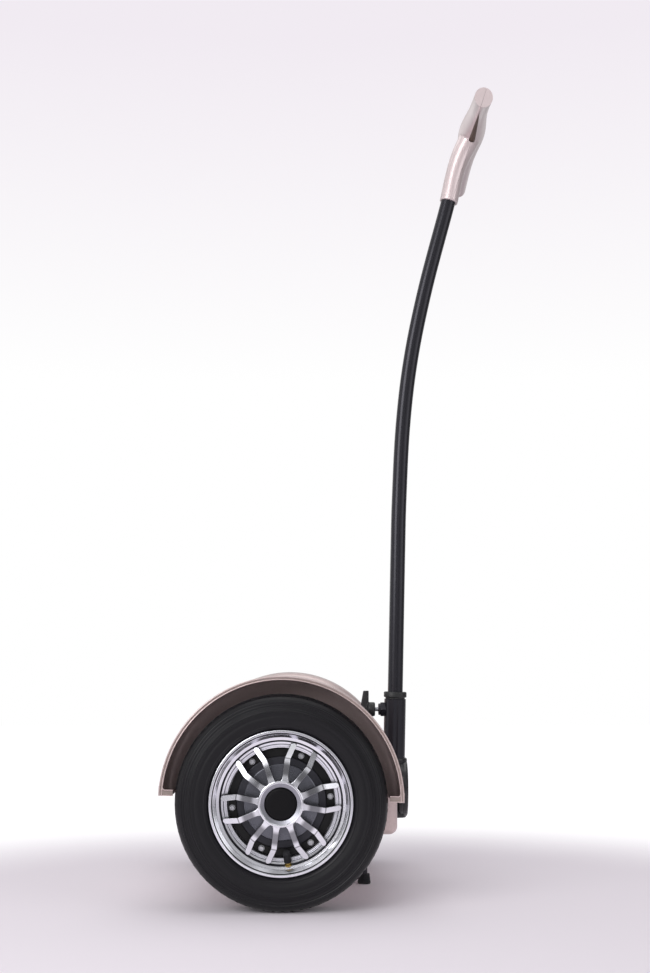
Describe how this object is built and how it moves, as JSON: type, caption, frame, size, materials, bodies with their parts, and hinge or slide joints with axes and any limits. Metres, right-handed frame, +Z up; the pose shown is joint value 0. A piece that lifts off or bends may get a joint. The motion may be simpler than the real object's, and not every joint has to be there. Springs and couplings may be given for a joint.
{
  "type": "self-balancing scooter",
  "caption": "Stand-on self-balancing scooter with hub-motor wheels under fenders, a footboard, a telescoping stem with bar handle and a fold-down stand.",
  "frame": {"origin": "on the floor under the middle of the overall box, 90 mm ahead of the wheel axle", "axes": "+X forward, +Y the rider's left, +Z up"},
  "size_m": [0.5838, 0.66, 1.449],
  "materials": {
    "tyre_rubber": "moulded",
    "soft_rubber": "moulded, fine ribs",
    "machined_aluminium": "diamond-cut, bright",
    "cast_aluminium": "as cast, satin",
    "motor_black": "satin black",
    "ground_steel": "ground",
    "wound_core": "laminated core with copper windings",
    "champagne_paint": "champagne metallic paint on moulded plastic",
    "black_anodised": "black anodised, satin",
    "black_plastic": "moulded, fine grain",
    "battery_wrap": "shrink wrap",
    "zinc_plated_steel": "zinc plated"
  },
  "bodies": {
    "chassis": {"chassis_frame": "cast_aluminium", "body_shell": "champagne_paint", "footboard": "black_anodised", "right_foot_mat": "soft_rubber", "left_foot_mat": "soft_rubber", "right_fender": "champagne_paint", "left_fender": "champagne_paint", "battery_pack": "battery_wrap", "controller_unit": "cast_aluminium", "right_axle": "ground_steel", "left_axle": "ground_steel", "right_stator": "wound_core", "left_stator": "wound_core", "right_outer_bearing": "ground_steel", "left_outer_bearing": "ground_steel", "right_inner_bearing": "ground_steel", "left_inner_bearing": "ground_steel", "lean_pin": "ground_steel", "stand_pin": "zinc_plated_steel"},
    "right_wheel": {"right_tyre": "tyre_rubber", "right_rim": "machined_aluminium", "right_wheel_face": "machined_aluminium", "right_motor_outer_cover": "motor_black", "right_rotor_ring": "ground_steel", "right_motor_inner_cover": "cast_aluminium", "right_hub_cap": "black_plastic", "right_valve": "black_plastic", "right_motor_bolt_1": "zinc_plated_steel", "right_motor_bolt_2": "zinc_plated_steel", "right_motor_bolt_3": "zinc_plated_steel", "right_motor_bolt_4": "zinc_plated_steel", "right_motor_bolt_5": "zinc_plated_steel", "right_motor_bolt_6": "zinc_plated_steel"},
    "left_wheel": {"left_tyre": "tyre_rubber", "left_rim": "machined_aluminium", "left_wheel_face": "machined_aluminium", "left_motor_outer_cover": "motor_black", "left_rotor_ring": "ground_steel", "left_motor_inner_cover": "cast_aluminium", "left_hub_cap": "black_plastic", "left_valve": "black_plastic", "left_motor_bolt_1": "zinc_plated_steel", "left_motor_bolt_2": "zinc_plated_steel", "left_motor_bolt_3": "zinc_plated_steel", "left_motor_bolt_4": "zinc_plated_steel", "left_motor_bolt_5": "zinc_plated_steel", "left_motor_bolt_6": "zinc_plated_steel"},
    "stem": {"stem_socket": "black_anodised", "outer_stem_tube": "black_anodised", "stem_bush": "black_plastic"},
    "clamp": {"clamp_knob": "black_plastic", "clamp_screw": "zinc_plated_steel"},
    "slider": {"inner_stem_tube": "black_anodised", "handle_rear_shell": "champagne_paint", "handle_front_shell": "champagne_paint"},
    "stand": {"stand_leg": "black_anodised", "stand_foot": "soft_rubber"},
    "button": {"power_button": "machined_aluminium"},
    "charge_cap": {"charge_port_cap": "soft_rubber"}
  },
  "joints": [
    {"name": "right_wheel_spin", "type": "hinge", "parent": "chassis", "child": "right_wheel", "pos_m": [-0.09, -0.272, 0.175], "axis": [0, 1, 0], "continuous": true},
    {"name": "left_wheel_spin", "type": "hinge", "parent": "chassis", "child": "left_wheel", "pos_m": [-0.09, 0.272, 0.175], "axis": [0, 1, 0], "continuous": true},
    {"name": "stem_lean", "type": "hinge", "parent": "chassis", "child": "stem", "pos_m": [0.075, 0, 0.172], "axis": [1, 0, 0], "range_deg": [-12, 12], "stiffness_Nm_per_rad": 150},
    {"name": "stem_slide", "type": "slide", "parent": "stem", "child": "slider", "axis": [0.0244, 0, 0.9997], "range_m": [-0.1, 0]},
    {"name": "clamp_turn", "type": "hinge", "parent": "stem", "child": "clamp", "pos_m": [0.0746, 0, 0.315], "axis": [1, 0, 0], "range_deg": [0, 360]},
    {"name": "stand_fold", "type": "hinge", "parent": "chassis", "child": "stand", "pos_m": [0.053, 0, 0.098], "axis": [0, 1, 0], "range_deg": [0, 85]},
    {"name": "button_press", "type": "slide", "parent": "chassis", "child": "button", "axis": [0, 0, 1], "range_m": [-0.002, 0], "stiffness_N_per_m": 400},
    {"name": "charge_cap_open", "type": "hinge", "parent": "chassis", "child": "charge_cap", "pos_m": [-0.255, -0.09, 0.1685], "axis": [0, 1, 0], "range_deg": [0, 100]}
  ]
}
